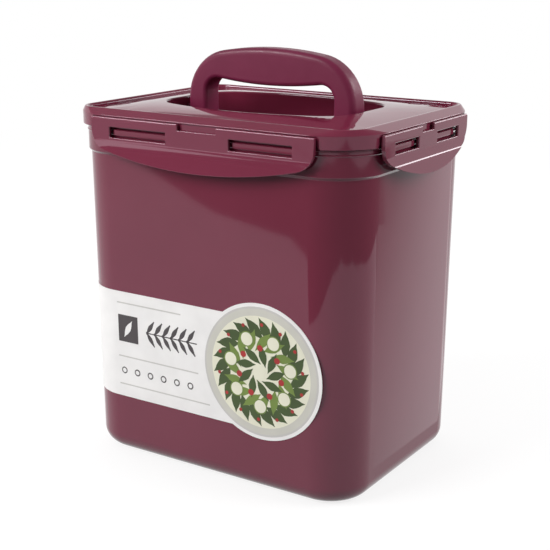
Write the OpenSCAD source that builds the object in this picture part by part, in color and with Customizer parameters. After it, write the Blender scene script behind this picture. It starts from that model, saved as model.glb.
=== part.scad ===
// Tall food keeper: tapered tub, lid with four latch flaps, folding carry handle, seal and label.
// Sections are drawn as [inset, height], where inset runs inward from the lid's hinge outline.

/* [Lid outline] */
// Width between the left and right hinge lines
lid_w = 202; // [190:1:230]
// Depth between the front and rear hinge lines
lid_d = 154; // [146:1:180]
// Corner radius of the hinge outline
corner_r = 26; // [23:0.5:32]
// Height of the hinge lines above the table
hinge_z = 209; // [150:1:240]

/* [Tub] */
// Wall thickness of the tub
wall = 2.2; // [1.6:0.1:2.8]
// Thickness of the tub's floor
floor_t = 2.6; // [2:0.1:4]
// Radius of the edge round the base
base_r = 11; // [7:0.5:12]
// Depth of the panel set into the base
base_recess = 0.8; // [0.3:0.1:1.2]
// Width of the foot ring round that panel
foot_w = 5; // [3:0.5:10]
// Slope of the tub's sides in degrees
draft = 0.6; // [0:0.1:0.9]
// Drop from the hinge lines to the lower edge of the upper band
band_drop = 22; // [18:0.5:30]
// How far the upper band stands out from the sides
band_out = 1.5; // [0.8:0.1:2]
// Drop from the hinge lines to the tub's rim
rim_drop = 3; // [2.5:0.1:4]
// Radius of the two beads under the lid
bead_r = 0.6; // [0.3:0.1:0.8]
// Drop from the hinge lines to the upper bead
bead_drop = 6.4; // [5.5:0.1:8]
// Spacing of the two beads
bead_pitch = 2.6; // [2:0.1:4]

/* [Flaps] */
// Thickness of a flap
flap_t = 2.2; // [1.8:0.1:2.6]
// How far a flap's face stands out from the hinge line
flap_proud = 0.9; // [0.6:0.1:1.2]
// Radius of the rolled edge that a flap turns on
roll_r = 0.9; // [0.7:0.05:1]
// Running gap round the rolled edge
roll_gap = 0.1; // [0.06:0.01:0.2]
// Drop from the hinge line to the crease above the finger lip
crease_drop = 16.5; // [14:0.5:20]
// Drop from the hinge line to the lowest point of the finger lip
lip_drop = 25; // [22:0.5:28]
// How far the finger lip flares out
lip_out = 4.2; // [2:0.1:6]
// How far a flap's lower edge rises towards its ends
lip_rise = 8; // [4:0.5:10]
// Radius of a flap's lower corners
flap_corner_r = 12; // [6:0.5:16]
// Drop from the hinge line to the top of the slots
slot_drop = 4.6; // [4:0.1:6]
// Height of the slots
slot_h = 6; // [5:0.1:7]
// Front and rear flaps: distance from the middle to a slot
long_slot_from = 21.5; // [16:0.5:28]
// Front and rear flaps: length of a slot
long_slot_len = 40; // [24:0.5:44]
// Front and rear flaps: half length of the gap in the hinge
long_notch = 13; // [6:0.5:15]
// Left and right flaps: distance from the middle to a slot
short_slot_from = 11.5; // [8:0.5:14]
// Left and right flaps: length of a slot
short_slot_len = 27.5; // [16:0.5:30]
// Left and right flaps: half length of the gap in the hinge
short_notch = 7; // [4:0.5:7.5]
// Height of the gap in the hinge
notch_h = 2.6; // [1.6:0.1:3.2]
// Gap between the nose of a lug and the back of a flap
lug_gap = 0.3; // [0.2:0.05:0.6]
// Room between a lug and its slot, all round
lug_room = 1; // [0.5:0.1:1.5]

/* [Lid] */
// Height of the rim above the hinge lines
rim_h = 4.5; // [4:0.1:6]
// Width of the rim
rim_w = 10; // [9:0.5:13]
// Height of the rim's upright edge above the hinge lines
rim_edge_h = 1.7; // [1.4:0.1:2]
// Radius of the rim's outer edge
rim_r = 0.6; // [0.3:0.1:0.7]
// Drop from the rim to the deck
deck_drop = 2.5; // [1.5:0.1:2.8]
// Rise of the deck from the rim to the handle well
deck_crown = 3.4; // [1:0.1:4]
// Wall thickness of the lid
lid_t = 2; // [1.6:0.1:2.2]
// Thickness of the skirt outside the seal
skirt_t = 1.3; // [1:0.1:1.8]
// Gap between the skirt and the back of a flap
skirt_gap = 0.4; // [0.3:0.05:0.8]
// How far the skirt reaches below the tub's rim
skirt_lap = 0.6; // [0.3:0.1:1.2]
// Gap between the lid's walls and the tub's rim
fit_gap = 0.5; // [0.3:0.05:0.8]
// How far the plug wall reaches below the tub's rim
plug_h = 5; // [3:0.5:8]
// Thickness of the plug wall
plug_t = 1.8; // [1.4:0.1:2.2]
// Gap round the seal in its channel
seal_gap = 0.1; // [0.05:0.01:0.2]

/* [Handle] */
// Width of the handle
handle_w = 117; // [100:1:124]
// Height of the handle above its pivot
handle_rise = 39.7; // [34:0.1:44]
// Thickness of the handle
handle_t = 15.2; // [13:0.1:17]
// Width of a leg
leg_w = 13.8; // [10:0.1:16]
// Radius of the crown
crown_r = 206; // [150:1:260]
// Radius of the shoulders
shoulder_r = 30; // [20:0.5:33]
// Height of the grip at its middle
grip_h = 21.7; // [18:0.1:24]
// How far the grip's underside bows down in the middle
grip_bow = 2.5; // [1:0.25:4]
// Radius of the upper corners of the finger gap
gap_r = 8.5; // [5:0.5:10]
// Rounding of the handle's outer edges
edge_r = 4; // [2:0.5:6]
// Bevel round the finger gap
gap_bevel = 2; // [1:0.25:3]
// Radius of the stub pins
pin_r = 2.5; // [1.5:0.1:2.6]
// Length of pin held in the lid
pin_hold = 3.5; // [2:0.25:4]
// Running gap round a pin
pin_gap = 0.06; // [0.03:0.01:0.1]

/* [Handle well] */
// Drop from the deck's edge to the handle's pivot
pivot_drop = 4; // [3.8:0.1:6]
// Room beside each leg
well_side_room = 4.5; // [2:0.5:8]
// Room past the folded handle
finger_room = 3.6; // [2:0.1:8]
// Radius of the well's bowed sides
well_bow = 150; // [110:1:220]
// Radius of the well's corners
well_corner = 22; // [14:0.5:26]
// Gap under the folded handle
rest_gap = 0.3; // [0.2:0.05:0.6]

/* [Label] */
// Height of the label's lower edge
label_z = 38; // [30:1:50]
// Height of the label's band
label_h = 67; // [40:1:75]
// Thickness of the paper
label_t = 0.25; // [0.15:0.01:0.4]
// Film of glue behind the paper
label_gap = 0.05; // [0.02:0.01:0.1]
// Radius of the round panel
panel_r = 40.5; // [30:0.5:42]
// Distance of the round panel from the middle of the front
panel_x = 37.5; // [20:0.5:40]
// How far the label runs on along the left side
label_wrap = 22; // [10:1:40]

/* [Hidden] */
$fn = 96;
// How far the deck runs into the rim
lap = 0.5;
wine = "#72253c";
wine_handle = "#5f2438";
paper = "#eeeae4";
silicone = "#b9b4b0";

// Centres of the four corner arcs
corner_x = lid_w / 2 - corner_r;
corner_y = lid_d / 2 - corner_r;

// Insets of the nested walls, from the flap inward
flap_in = flap_t - flap_proud;
skirt_u = flap_in + skirt_gap;
band_u = skirt_u + skirt_t + fit_gap;
side_u = band_u + band_out;
plug_u = band_u + wall + fit_gap;
hinge_u = flap_t / 2 - flap_proud;
rim_u = hinge_u + roll_r / 2;

// Heights
band_z = hinge_z - band_drop;
rim_z = hinge_z - rim_drop;
lid_top = hinge_z + rim_h;
deck_z = lid_top - deck_drop;
crown_z = deck_z + deck_crown;
skirt_z = rim_z - skirt_lap;
plug_z = rim_z - plug_h;
pivot_z = deck_z - pivot_drop;
well_floor = pivot_z - handle_t / 2 - rest_gap;

// Lid: the rim slopes up from its upright edge to a round over the deck
rim_edge = [rim_u, hinge_z + rim_edge_h];
rim_mid = [rim_w - deck_drop, deck_z];
rim_run = rim_mid - rim_edge;
rim_slope = atan2(rim_run[1], rim_run[0]) + asin(deck_drop / norm(rim_run));

// Seal channel: inset of its outer wall, and its ceiling one wall below the rim's slope
channel_u = skirt_u + skirt_t;
channel_z = rim_edge[1] + (channel_u - rim_u) * tan(rim_slope) - lid_t;

// Tub: inset of the outer face at a height, and of the base's flat
function side_at(z) = side_u + (band_z - z) * tan(draft);
base_u = side_at(base_r);
flat_u = base_u + base_r;

// Lugs: reach from the band to just short of the flap
lug_u = flap_in + lug_gap;
lug_top = hinge_z - slot_drop - lug_room;
lug_bottom = hinge_z - slot_drop - slot_h + lug_room;

// Handle: half widths, and the underside of the grip above the pivot
half_w = handle_w / 2;
gap_half = half_w - leg_w;
under_mid = handle_rise - grip_h;
under_end = under_mid + grip_bow;
foot_r = handle_t / 2;

// Handle well: half width and half depth
well_x = half_w + well_side_room;
well_y = handle_rise + finger_room;

// Points of an arc from angle a to angle b
function arc(c, r, a, b, n) =
    [for (i = [0 : n]) let (t = a + (b - a) * i / n) c + r * [cos(t), sin(t)]];

// Half round bead on the band at a height
function bead(z) = arc([band_u, z], bead_r, -90, -270, 4);

// Outline with straight sides, round corners and a bowed far edge, drawn upwards from the line y = 0
function bowed_outline(half, far, bow_r, r) =
    let (mid = far - bow_r)
    let (c = [half - r, mid + sqrt(pow(bow_r - r, 2) - pow(half - r, 2))])
    let (turn = atan2(c[1] - mid, c[0]))
    concat(
        [[half, 0]],
        arc(c, r, 0, turn, 8),
        arc([0, mid], bow_r, turn, 180 - turn, 16),
        arc([-c[0], c[1]], r, 180 - turn, 180, 8),
        [[-half, 0]]
    );

// Sweeps a section round the hinge outline
module ring(section) {
    points = [for (p = section) [corner_r - p[0], p[1]]];
    for (turn = [0 : 3]) {
        along = turn % 2 == 0;
        rotate(90 * turn) {
            translate([along ? corner_x : corner_y, along ? corner_y : corner_x, 0])
                rotate_extrude(angle = 90) polygon(points);
            translate([along ? corner_x : corner_y, 0, 0])
                rotate([90, 0, 0])
                    linear_extrude(2 * (along ? corner_y : corner_x), center = true) polygon(points);
        }
    }
}

// Flat plate with the outline at an inset
module plate(u, z0, z1) {
    r = corner_r - u;
    translate([0, 0, z0])
        linear_extrude(z1 - z0) {
            square([2 * corner_x, 2 * (corner_y + r)], center = true);
            square([2 * (corner_x + r), 2 * corner_y], center = true);
            for (sx = [-1, 1], sy = [-1, 1])
                translate([sx * corner_x, sy * corner_y]) circle(r);
        }
}

// Puts a child drawn for one side at the front, right, rear or left
module at_side(side) {
    rotate(90 * side)
        translate([0, -(side % 2 == 0 ? lid_d : lid_w) / 2, 0]) children();
}

// Both lugs of one side
module lugs(from, length) {
    slope = (band_u - lug_u) / 2;
    for (s = [-1, 1])
        translate([s * (from + length / 2), 0, 0])
            rotate([90, 0, 90])
                linear_extrude(length - 2 * lug_room, center = true)
                    polygon([
                        [band_u + wall / 2, lug_bottom],
                        [lug_u, lug_bottom],
                        [lug_u, lug_top - slope],
                        [band_u, lug_top],
                        [band_u + wall / 2, lug_top],
                    ]);
}

module body() {
    outer = concat(
        arc([flat_u, base_r], base_r, -90, -180, 8),
        [[side_u, band_z], [band_u, band_z + band_out]],
        bead(hinge_z - bead_drop - bead_pitch),
        bead(hinge_z - bead_drop),
        [[band_u, rim_z - wall / 4], [band_u + wall / 4, rim_z]]
    );
    inner = concat(
        [[band_u + wall * 3 / 4, rim_z], [band_u + wall, rim_z - wall / 4]],
        [[band_u + wall, band_z + 2 * band_out], [side_u + wall, band_z]],
        arc([flat_u, floor_t + base_r - wall], base_r - wall, -180, -90, 8)
    );
    color(wine)
        difference() {
            union() {
                ring(concat(outer, inner));
                plate(flat_u, 0, floor_t);
                for (side = [0, 2]) at_side(side) lugs(long_slot_from, long_slot_len);
                for (side = [1, 3]) at_side(side) lugs(short_slot_from, short_slot_len);
            }
            plate(flat_u + foot_w, -1, base_recess);
        }
}

// Barrel outline of the handle well, grown all round
module well_shape(grow, z0, z1) {
    rear = bowed_outline(well_x + grow, well_y + grow, well_bow + grow, well_corner + grow);
    rounds = [for (p = rear) if (p[1] > 0) p];
    translate([0, 0, z0]) linear_extrude(z1 - z0) polygon(concat(rounds, -rounds));
}

// Solid under the crowned deck, from the rim to the well, drawn in and lowered
module under_deck(u, drop) {
    foot = deck_z - lid_t - drop - 1;
    hull() {
        plate(u, foot, deck_z - drop);
        well_shape(lid_t, foot, crown_z - drop);
    }
}

// Pivot boss outside each end wall of the well
module pivot_bosses() {
    top = crown_z - lid_t * 3 / 4;
    for (s = [-1, 1])
        translate([s * (well_x + lid_t + pin_hold / 2), 0, (well_floor + top) / 2])
            cube([pin_hold + lid_t, handle_t, top - well_floor], center = true);
}

// Groove that a flap's rolled edge lies in
module hinge_grooves(half, notch) {
    for (s = [-1, 1])
        translate([s * (half + notch) / 2, hinge_u, hinge_z])
            rotate([0, 90, 0])
                cylinder(h = half - notch + 2 * roll_gap, r = roll_r + roll_gap, center = true);
}

module lid() {
    step_z = hinge_z - roll_gap;
    section = concat(
        [[skirt_u, skirt_z], [skirt_u, step_z], [rim_u, step_z]],
        arc(rim_edge + rim_r * [1, -tan(45 - rim_slope / 2)], rim_r, 180, 90 + rim_slope, 4),
        arc(rim_mid, deck_drop, 90 + rim_slope, 0, 8),
        [[rim_w, deck_z - lid_t], [plug_u + plug_t, deck_z - lid_t]],
        arc([plug_u + plug_t / 2, plug_z + plug_t / 2], plug_t / 2, 0, -180, 6),
        [[plug_u, channel_z], [channel_u, channel_z], [channel_u, skirt_z]]
    );
    color(wine)
        difference() {
            union() {
                ring(section);
                difference() {
                    under_deck(rim_w - lap, 0);
                    under_deck(rim_w - 2 * lap, lid_t);
                }
                well_shape(lid_t, well_floor - lid_t, crown_z - lid_t / 2);
                pivot_bosses();
            }
            well_shape(0, well_floor, crown_z + 1);
            translate([0, 0, pivot_z])
                rotate([0, 90, 0])
                    cylinder(h = 2 * (well_x + pin_hold), r = pin_r + pin_gap, center = true);
            for (side = [0, 2]) at_side(side) hinge_grooves(corner_x, long_notch);
            for (side = [1, 3]) at_side(side) hinge_grooves(corner_y, short_notch);
        }
}

module seal() {
    u0 = channel_u + seal_gap;
    u1 = plug_u - seal_gap;
    z0 = rim_z + seal_gap;
    z1 = channel_z - seal_gap;
    lip = (u1 - u0) / 4;
    color(silicone)
        ring([[u0, z0 + lip], [u0 + lip, z0], [u1 - lip, z0], [u1, z0 + lip], [u1, z1], [u0, z1]]);
}

// One latch flap, drawn with its hinge along x and its face towards -y
module flap(half, from, length, notch) {
    lip_bottom = hinge_z - lip_drop;
    edge_bow = (pow(half, 2) + pow(lip_rise, 2)) / (2 * lip_rise);
    section = concat(
        arc([hinge_u, hinge_z], roll_r, 0, 180, 12),
        [
            [-flap_proud, hinge_z - flap_t],
            [-flap_proud, hinge_z - crease_drop],
            [-flap_proud - lip_out, lip_bottom],
            [-flap_proud - lip_out + flap_t, lip_bottom],
            [flap_in, hinge_z - crease_drop - flap_t / 2],
            [flap_in, hinge_z - flap_t],
        ]
    );
    top = hinge_z + roll_r + 1;
    color(wine)
        difference() {
            intersection() {
                rotate([90, 0, 90]) linear_extrude(2 * half, center = true) polygon(section);
                translate([0, 0, top])
                    rotate([-90, 0, 0])
                        linear_extrude(4 * (lip_out + flap_t), center = true)
                            polygon(bowed_outline(half, top - lip_bottom, edge_bow, flap_corner_r));
            }
            for (s = [-1, 1])
                translate([s * (from + length / 2), 0, hinge_z - slot_drop - slot_h / 2])
                    cube([length, 4 * flap_t, slot_h], center = true);
            translate([0, 0, hinge_z])
                cube([2 * notch, 4 * flap_t, 2 * notch_h], center = true);
        }
}

module long_flap() {
    flap(corner_x, long_slot_from, long_slot_len, long_notch);
}

module short_flap() {
    flap(corner_y, short_slot_from, short_slot_len, short_notch);
}

module front_flap() { at_side(0) long_flap(); }
module right_flap() { at_side(1) short_flap(); }
module rear_flap() { at_side(2) long_flap(); }
module left_flap() { at_side(3) short_flap(); }

// Outline of the handle above its pivot, drawn in by an inset
module handle_shape(inset) {
    polygon(bowed_outline(half_w - inset, handle_rise - inset, crown_r - inset, shoulder_r - inset));
}

// Finger gap below the grip, grown all round
module gap_shape(grow) {
    reach = gap_half + grow;
    top = under_end + grow;
    r = gap_r + grow;
    polygon(concat(
        [[-reach, -handle_t], [reach, -handle_t]],
        arc([reach - r, top - r], r, 0, 90, 6),
        arc([r - reach, top - r], r, 90, 180, 6)
    ));
}

// Solid D of the handle with its outer edges rounded
module handle_slab() {
    flat = foot_r - edge_r;
    hull()
        for (a = [0 : 18 : 90])
            linear_extrude(2 * (flat + edge_r * sin(a)), center = true)
                handle_shape(edge_r * (1 - cos(a)));
}

// Finger gap with its bevel on both faces
module finger_gap() {
    linear_extrude(2 * handle_t, center = true) gap_shape(0);
    for (side = [0, 1])
        mirror([0, 0, side])
            hull() {
                translate([0, 0, foot_r - gap_bevel]) linear_extrude(2 * gap_bevel) gap_shape(0);
                translate([0, 0, foot_r]) linear_extrude(gap_bevel) gap_shape(gap_bevel);
            }
}

// Downward bow under the middle of the grip
module grip_belly() {
    reach = gap_half - gap_r;
    belly_r = (pow(reach, 2) + pow(grip_bow, 2)) / (2 * grip_bow);
    turn = asin(reach / belly_r);
    linear_extrude(handle_t - 2 * gap_bevel, center = true)
        polygon(concat(
            arc([0, under_mid + belly_r], belly_r, -90 - turn, -90 + turn, 16),
            [[reach, under_end + grip_h / 4], [-reach, under_end + grip_h / 4]]
        ));
}

// Round foot of a leg and its stub pin, drawn along z from the finger gap outward
module handle_foot() {
    rotate_extrude()
        polygon([
            [0, 0],
            [foot_r - gap_bevel, 0],
            [foot_r, gap_bevel],
            [foot_r, leg_w - gap_bevel],
            [foot_r - gap_bevel, leg_w],
            [0, leg_w],
        ]);
    cylinder(h = leg_w + well_side_room + pin_hold - rest_gap, r = pin_r);
}

module handle() {
    color(wine_handle)
        translate([0, 0, pivot_z]) {
            rotate([90, 0, 0]) {
                difference() {
                    handle_slab();
                    finger_gap();
                }
                grip_belly();
            }
            for (s = [-1, 1])
                translate([s * gap_half, 0, 0]) rotate([0, s * 90, 0]) handle_foot();
        }
}

// Paper label: a band that wraps the front-left corner, and a round panel on the front
module label() {
    z0 = label_z - panel_r;
    z1 = label_z + label_h + panel_r;
    panel_z = label_z + label_h / 2 + 2;
    color(paper)
        intersection() {
            ring([
                [side_at(z0) - label_gap - label_t, z0],
                [side_at(z0) - label_gap, z0],
                [side_at(z1) - label_gap, z1],
                [side_at(z1) - label_gap - label_t, z1],
            ]);
            union() {
                translate([-lid_w, -lid_d, label_z])
                    cube([lid_w + panel_x - panel_r / 2, lid_d - corner_y + label_wrap, label_h]);
                translate([panel_x, 0, panel_z])
                    rotate([90, 0, 0]) cylinder(h = lid_d, r = panel_r);
            }
        }
}

body();
lid();
seal();
handle();
front_flap();
rear_flap();
left_flap();
right_flap();
label();
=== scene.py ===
"""Scene of a tall food keeper: tub, latch lid, folding handle, seal and label, dressed over its CAD frame.

Sizes are in millimetres until a piece is finished, and in metres after that. A section is a list of
points (inset, height, radius): the inset runs inward from the lid's hinge outline, and the radius rounds
that point.
"""

import logging
import math
from collections.abc import Callable, Iterable, Mapping, Sequence
from dataclasses import dataclass
from enum import Enum

import bmesh
import bpy
from bmesh.types import BMEdge, BMesh, BMFace, BMVert
from mathutils import Matrix, Vector

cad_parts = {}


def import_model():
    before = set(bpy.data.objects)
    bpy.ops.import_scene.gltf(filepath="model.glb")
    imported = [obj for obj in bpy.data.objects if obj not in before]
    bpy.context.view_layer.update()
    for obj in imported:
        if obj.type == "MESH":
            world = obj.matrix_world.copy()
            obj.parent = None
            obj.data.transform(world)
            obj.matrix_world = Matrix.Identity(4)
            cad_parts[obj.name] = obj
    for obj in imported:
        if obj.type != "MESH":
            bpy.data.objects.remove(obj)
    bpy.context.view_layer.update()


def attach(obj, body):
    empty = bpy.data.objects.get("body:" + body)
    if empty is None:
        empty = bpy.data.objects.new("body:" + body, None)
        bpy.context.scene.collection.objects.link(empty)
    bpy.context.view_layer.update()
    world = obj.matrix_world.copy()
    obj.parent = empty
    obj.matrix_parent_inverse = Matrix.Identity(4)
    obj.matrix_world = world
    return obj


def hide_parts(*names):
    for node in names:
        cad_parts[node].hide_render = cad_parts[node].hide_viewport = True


log = logging.getLogger("food_keeper")

MM = 0.001
MERGE = 1e-3
HINGE_Z = 209.0
NOISE_RANGE = (0.3, 0.7)
RIGHT = Vector((1, 0, 0))
REAR = Vector((0, 1, 0))
UP = Vector((0, 0, 1))

# Least angles between the faces beside an edge
SHARP = math.radians(38)
STEEP = math.radians(50)
SQUARE = math.radians(60)

# Numbers of the rows that points draw in a sweep
OUTER_ROW = 1
INNER_ROW = 2
RIM_ROW = 5
WELL_ROW = 20
UNDERSIDE_ROW = 30
PRISM_ROW = 100

Colour = tuple[float, float, float]
Section = Sequence[tuple[float, float, float]]
Inputs = Mapping[str | int, object]


class Body(Enum):
    """Bodies of the frame that a piece can ride on."""

    TUB = "tub"
    LID = "lid"
    HANDLE = "handle"


class Slot(Enum):
    """Material slots of the record."""

    TUB = "tub_plastic"
    LID = "lid_plastic"
    HANDLE = "handle_plastic"
    SILICONE = "silicone"
    LABEL = "label_paper"


class Side(Enum):
    """Sides of the keeper, in quarter turns from the front."""

    FRONT = 0
    RIGHT = 1
    REAR = 2
    LEFT = 3

    @property
    def is_long(self) -> bool:
        """True for the front and the rear."""
        return self.value % 2 == 0


def srgb(red: int, green: int, blue: int) -> Colour:
    """Turns a colour read from a screen into a linear one.

    Args:
        red: Red from 0 to 255.
        green: Green from 0 to 255.
        blue: Blue from 0 to 255.

    Returns:
        The linear colour.
    """

    def linear(value: int) -> float:
        """One channel, without the screen's curve."""
        share = value / 255
        return share / 12.92 if share <= 0.04045 else ((share + 0.055) / 1.055) ** 2.4

    return linear(red), linear(green), linear(blue)


# Finishes


class Shader:
    """A material's node tree with short calls for the nodes that the finishes share."""

    def __init__(self, name: str) -> None:
        """Starts an empty material with its output and Object coordinates.

        Args:
            name: Name of the material.
        """
        self.material = bpy.data.materials.new(name)
        self.material.use_nodes = True
        self.tree = self.material.node_tree
        self.tree.nodes.clear()
        self.output = self.node("ShaderNodeOutputMaterial")
        self.place = self.node("ShaderNodeTexCoord").outputs["Object"]

    def node(self, kind: str, inputs: Inputs | None = None, **settings: object) -> bpy.types.Node:
        """Adds a node.

        Args:
            kind: Blender's name of the node type.
            inputs: Plain values or sockets to link, by the name or number of the node's own sockets.
            settings: Properties to set on the node.

        Returns:
            The new node.
        """
        made = self.tree.nodes.new(kind)
        for key, value in settings.items():
            setattr(made, key, value)
        for key, value in (inputs or {}).items():
            self.feed(made.inputs[key], value)
        return made

    def feed(self, target: bpy.types.NodeSocket, value: object) -> None:
        """Links a socket to a target, or sets a plain value on it.

        Args:
            target: Socket to feed.
            value: Socket to link to it, or its plain value.
        """
        if isinstance(value, bpy.types.NodeSocket):
            self.tree.links.new(value, target)
        else:
            target.default_value = value

    def noise(self, scale: float, detail: float = 2.0) -> bpy.types.NodeSocket:
        """Noise over the object, by its waves per metre and its octaves."""
        inputs = {"Vector": self.place, "Scale": scale, "Detail": detail}
        return self.node("ShaderNodeTexNoise", inputs).outputs["Fac"]

    def spread(self, value: bpy.types.NodeSocket, low: float, high: float) -> bpy.types.NodeSocket:
        """Maps the middle of a noise's range to a range of numbers.

        Args:
            value: The noise's value.
            low: Number at its lower end.
            high: Number at its upper end.

        Returns:
            The number.
        """
        start, end = NOISE_RANGE
        inputs = {"Value": value, "From Min": start, "From Max": end, "To Min": low, "To Max": high}
        return self.node("ShaderNodeMapRange", inputs).outputs["Result"]

    def blend(self, share: bpy.types.NodeSocket, first: Colour, second: Colour) -> bpy.types.NodeSocket:
        """Mixes two colours, by the share of the second."""
        inputs = {"Factor": share, "A": (*first, 1), "B": (*second, 1)}
        return self.node("ShaderNodeMix", inputs, data_type="RGBA").outputs["Result"]

    def bump(
        self, height: bpy.types.NodeSocket, depth: float, after: bpy.types.NodeSocket | None = None
    ) -> bpy.types.NodeSocket:
        """Bumps the surface.

        Args:
            height: Height of the bump, from 0 to 1.
            depth: Its full depth in metres.
            after: Normal of a bump below this one.

        Returns:
            The bumped normal.
        """
        inputs = {"Height": height, "Distance": depth}
        if after is not None:
            inputs["Normal"] = after
        return self.node("ShaderNodeBump", inputs).outputs["Normal"]

    def surface(self, **sockets: object) -> bpy.types.Material:
        """Ends the material with a Principled shader.

        Args:
            sockets: Values or links by socket name, with _ for a space.

        Returns:
            The material.
        """
        inputs = {key.replace("_", " "): value for key, value in sockets.items()}
        made = self.node("ShaderNodeBsdfPrincipled", inputs)
        self.feed(self.output.inputs["Surface"], made.outputs["BSDF"])
        return self.material


@dataclass(frozen=True)
class GlossyMoulding:
    """Polished injection moulding, with the faint flow marks and orange peel of real plastic."""

    name: str
    colour: Colour
    deep: Colour
    roughness: float = 0.05
    ripple: float = 3e-5
    peel: float = 2e-6

    def material(self) -> bpy.types.Material:
        """Builds the material.

        Returns:
            The material.
        """
        shader = Shader(self.name)
        flow = shader.noise(14, 3)
        haze = shader.noise(420, 3)
        sink = shader.bump(shader.noise(28, 1), self.ripple)
        return shader.surface(
            Base_Color=shader.blend(shader.spread(flow, 0, 1), self.colour, self.deep),
            Roughness=shader.spread(haze, self.roughness * 0.8, self.roughness * 1.2),
            # Painted reflection tint: every reflection is tinted slightly magenta, standing in for the
            # pink cast of light bounced between the wine faces.
            Specular_Tint=(1, 0.9, 1, 1),
            Normal=shader.bump(shader.noise(650, 2), self.peel, sink),
        )


@dataclass(frozen=True)
class SatinMoulding:
    """Moulding with a spark-eroded grain."""

    name: str
    colour: Colour
    deep: Colour
    roughness: float = 0.4
    grain: float = 1.6e-5

    def material(self) -> bpy.types.Material:
        """Builds the material.

        Returns:
            The material.
        """
        shader = Shader(self.name)
        mottle = shader.noise(60, 3)
        pits = shader.noise(3200, 2)
        worn = shader.noise(240, 2)
        return shader.surface(
            Base_Color=shader.blend(shader.spread(mottle, 0, 1), self.colour, self.deep),
            Roughness=shader.spread(worn, self.roughness * 0.88, self.roughness * 1.12),
            Specular_IOR_Level=0.25,
            Normal=shader.bump(pits, self.grain),
        )


@dataclass(frozen=True)
class SoftSilicone:
    """Milky silicone of the seal."""

    name: str
    colour: Colour

    def material(self) -> bpy.types.Material:
        """Builds the material.

        Returns:
            The material.
        """
        shader = Shader(self.name)
        cloud = shader.noise(90, 2)
        deep = tuple(channel * 0.85 for channel in self.colour)
        return shader.surface(
            Base_Color=shader.blend(shader.spread(cloud, 0, 1), self.colour, deep),
            Roughness=shader.spread(shader.noise(700, 2), 0.4, 0.6),
            Normal=shader.bump(shader.noise(900, 2), 6e-6),
        )


@dataclass(frozen=True)
class PrintedPaper:
    """Coated label paper, bare or printed in one ink."""

    name: str
    colour: Colour
    shade: float = 0.93

    def material(self) -> bpy.types.Material:
        """Builds the material.

        Returns:
            The material.
        """
        shader = Shader(self.name)
        fibre = shader.noise(1500, 4)
        tone = shader.noise(75, 2)
        dim = tuple(channel * self.shade for channel in self.colour)
        return shader.surface(
            Base_Color=shader.blend(shader.spread(tone, 0, 1), self.colour, dim),
            Roughness=shader.spread(fibre, 0.34, 0.5),
            Normal=shader.bump(fibre, 4e-6),
        )


TUB_GLOSS = GlossyMoulding("wine_gloss_tub", srgb(110, 38, 58), srgb(104, 34, 53))
LID_GLOSS = GlossyMoulding("wine_gloss_lid", srgb(112, 38, 60), srgb(106, 34, 55), ripple=1e-5)
HANDLE_SATIN = SatinMoulding("wine_satin_handle", srgb(106, 33, 61), srgb(100, 29, 56))
SEAL_MILKY = SoftSilicone("milky_seal", srgb(200, 196, 192))


class Ink(Enum):
    """The label's paper and inks, in the order of its material slots."""

    PAPER = PrintedPaper("label_paper", srgb(237, 235, 234))
    RULE = PrintedPaper("label_ink_rule", srgb(196, 193, 190))
    CHARCOAL = PrintedPaper("label_ink_charcoal", srgb(66, 60, 62))
    PLATE = PrintedPaper("label_ink_plate", srgb(201, 199, 190))
    CREAM = PrintedPaper("label_ink_cream", srgb(228, 226, 206))
    MOSS = PrintedPaper("label_ink_moss", srgb(60, 78, 36), 0.75)
    LEAF = PrintedPaper("label_ink_leaf", srgb(112, 134, 62), 0.8)
    BERRY = PrintedPaper("label_ink_berry", srgb(166, 44, 44), 0.8)


# Modelling aids


class Sweep:
    """A row of vertices carried along a path, line by line and turn by turn."""

    def __init__(
        self, bm: BMesh, points: Iterable[Vector], closed: bool = False, first_row: int = 1
    ) -> None:
        """Lays out the first row.

        Args:
            bm: Mesh to add to.
            points: Points of the row.
            closed: True joins the last point to the first.
            first_row: Number of the first point's row, counted up from point to point.
        """
        self.bm = bm
        rows = row_layer(bm)
        verts = [bm.verts.new(point) for point in points]
        for row, vert in enumerate(verts, first_row):
            vert[rows] = row
        pairs = list(zip(verts, verts[1:]))
        if closed:
            pairs.append((verts[-1], verts[0]))
        self.head = verts + [bm.edges.new(pair) for pair in pairs]

    def line(self, step: Vector) -> None:
        """Draws the row straight on by a step."""
        self._spin(Vector(), UP, step, 0, 1)

    def turn(self, centre: Vector, degrees: float, steps: int, axis: Vector = UP) -> None:
        """Turns the row about an axis through a centre."""
        self._spin(centre, axis, Vector(), math.radians(degrees), steps)

    def _spin(self, centre: Vector, axis: Vector, step: Vector, angle: float, steps: int) -> None:
        """Runs Blender's spin on the row, and keeps its far end as the new row.

        Args:
            centre: Point on the axis.
            axis: Axis of the turn.
            step: Straight step, made at each step of the turn.
            angle: Whole turn in radians.
            steps: Number of steps.
        """
        made = bmesh.ops.spin(
            self.bm, geom=self.head, cent=centre, axis=axis, dvec=step, angle=angle, steps=steps
        )
        self.head = made["geom_last"]


def row_layer(bm: BMesh) -> bmesh.types.BMLayerItem:
    """The layer that numbers a swept section's points."""
    return bm.verts.layers.int.get("row") or bm.verts.layers.int.new("row")


def row_edges(bm: BMesh, row: int) -> list[BMEdge]:
    """Edges that one point of a section has drawn."""
    rows = row_layer(bm)
    return [edge for edge in bm.edges if all(vert[rows] == row for vert in edge.verts)]


def weld(bm: BMesh) -> None:
    """Merges doubles."""
    bmesh.ops.remove_doubles(bm, verts=bm.verts[:], dist=MERGE)


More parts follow.
